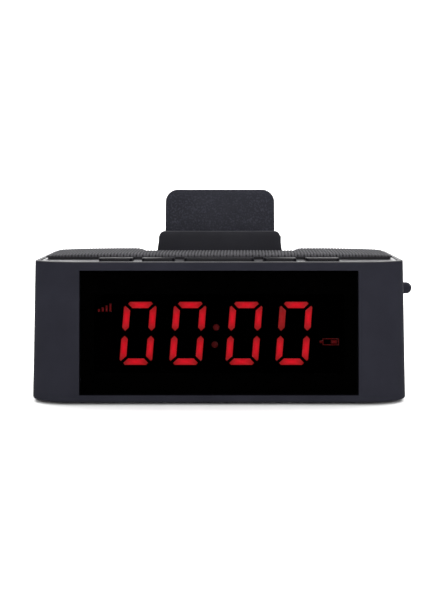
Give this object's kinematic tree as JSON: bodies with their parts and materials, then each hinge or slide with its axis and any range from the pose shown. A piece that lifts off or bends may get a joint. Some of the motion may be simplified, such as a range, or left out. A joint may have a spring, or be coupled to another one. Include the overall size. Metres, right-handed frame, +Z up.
{
  "type": "alarm clock radio",
  "caption": "Digital alarm clock radio with a smoked display window, top buttons, cloth speaker panel, phone dock with sliding backrest and a telescopic aerial.",
  "frame": {"origin": "middle of the whole object's footprint, parked aerial included, on the plane under the feet", "axes": "+X to the right seen from the front, along the parked aerial; -Y the front with the display; +Z up"},
  "size_m": [0.1934, 0.0838, 0.1002],
  "materials": {
    "housing": "fine satin moulded plastic, charcoal with a blue cast",
    "deck": "satin moulded plastic",
    "dock": "smooth satin moulded plastic",
    "backrest": "fine spark-eroded texture",
    "window": "polished smoked acrylic",
    "display": "black display face",
    "digit_light": "red light segments",
    "board": "green solder mask",
    "cloth": "woven speaker cloth",
    "inner_plastic": "black moulded plastic",
    "cone": "pressed black paper",
    "rubber": "soft black rubber",
    "steel": "plated sheet steel",
    "chromed_brass": "chromium-plated brass",
    "cell_sleeve": "shrink sleeve",
    "cable": "flat cable"
  },
  "bodies": {
    "housing": {"housing_shell": "housing", "top_deck": "deck", "dock_plinth": "dock", "display_window": "window", "display_block": "display", "display_board": "board", "button_board": "board", "main_board": "board", "grille_cloth": "cloth", "bottom_cover": "inner_plastic", "grille_frame": "inner_plastic", "rear_panel": "inner_plastic", "audio_jack": "inner_plastic", "aerial_bush": "inner_plastic", "battery_tray": "inner_plastic", "speaker_magnet_left": "inner_plastic", "speaker_magnet_right": "inner_plastic", "alarm_switch": "inner_plastic", "previous_switch": "inner_plastic", "snooze_switch": "inner_plastic", "next_switch": "inner_plastic", "mode_switch": "inner_plastic", "speaker_cone_left": "cone", "speaker_cone_right": "cone", "foot_front_left": "rubber", "foot_front_right": "rubber", "foot_rear_left": "rubber", "foot_rear_right": "rubber", "speaker_gasket_left": "rubber", "speaker_gasket_right": "rubber", "bottom_screw_front_left": "steel", "bottom_screw_front_right": "steel", "bottom_screw_rear_left": "steel", "bottom_screw_rear_right": "steel", "speaker_basket_left": "steel", "speaker_basket_right": "steel", "backrest_spring": "steel", "usb_port": "steel", "card_slot": "steel", "charge_socket": "steel", "power_switch_body": "steel", "shield_can": "steel", "battery_cell": "cell_sleeve", "flat_cable": "cable"},
    "alarm_button": {"alarm_button": "deck"},
    "previous_button": {"previous_button": "deck"},
    "snooze_button": {"snooze_button": "deck"},
    "next_button": {"next_button": "deck"},
    "mode_button": {"mode_button": "deck"},
    "backrest": {"dock_backrest": "backrest"},
    "power_knob": {"power_switch_knob": "housing"},
    "aerial_base": {"aerial_swivel": "chromed_brass", "aerial_pin": "chromed_brass", "aerial_retainer": "steel"},
    "aerial_outer": {"aerial_tube_1": "chromed_brass"},
    "aerial_middle": {"aerial_tube_2": "chromed_brass"},
    "aerial_inner": {"aerial_tube_3": "chromed_brass"},
    "aerial_end": {"aerial_rod": "chromed_brass", "aerial_tip": "housing"}
  },
  "joints": [
    {"name": "alarm_press", "type": "slide", "parent": "housing", "child": "alarm_button", "axis": [0, 0, -1], "range_m": [0, 0.0006], "stiffness_N_per_m": 800, "springref_m": -0.0012},
    {"name": "previous_press", "type": "slide", "parent": "housing", "child": "previous_button", "axis": [0, 0, -1], "range_m": [0, 0.0006], "stiffness_N_per_m": 800, "springref_m": -0.0012},
    {"name": "snooze_press", "type": "slide", "parent": "housing", "child": "snooze_button", "axis": [0, 0, -1], "range_m": [0, 0.0006], "stiffness_N_per_m": 800, "springref_m": -0.0012},
    {"name": "next_press", "type": "slide", "parent": "housing", "child": "next_button", "axis": [0, 0, -1], "range_m": [0, 0.0006], "stiffness_N_per_m": 800, "springref_m": -0.0012},
    {"name": "mode_press", "type": "slide", "parent": "housing", "child": "mode_button", "axis": [0, 0, -1], "range_m": [0, 0.0006], "stiffness_N_per_m": 800, "springref_m": -0.0012},
    {"name": "backrest_slide", "type": "slide", "parent": "housing", "child": "backrest", "axis": [0, 0.1564, 0.9877], "range_m": [-0.022, 0]},
    {"name": "power_slide", "type": "slide", "parent": "housing", "child": "power_knob", "axis": [1, 0, 0], "range_m": [0, 0.003]},
    {"name": "aerial_turn", "type": "hinge", "parent": "housing", "child": "aerial_base", "pos_m": [-0.04947, 0.03827, 0.0463], "axis": [0, -1, 0], "range_deg": [0, 180]},
    {"name": "aerial_elbow", "type": "hinge", "parent": "aerial_base", "child": "aerial_outer", "pos_m": [-0.04947, 0.03827, 0.0463], "axis": [0, 0, 1], "range_deg": [0, 90]},
    {"name": "aerial_pull_1", "type": "slide", "parent": "aerial_outer", "child": "aerial_middle", "axis": [1, 0, 0], "range_m": [0, 0.11]},
    {"name": "aerial_pull_2", "type": "slide", "parent": "aerial_middle", "child": "aerial_inner", "axis": [1, 0, 0], "range_m": [0, 0.11]},
    {"name": "aerial_pull_3", "type": "slide", "parent": "aerial_inner", "child": "aerial_end", "axis": [1, 0, 0], "range_m": [0, 0.11]}
  ]
}
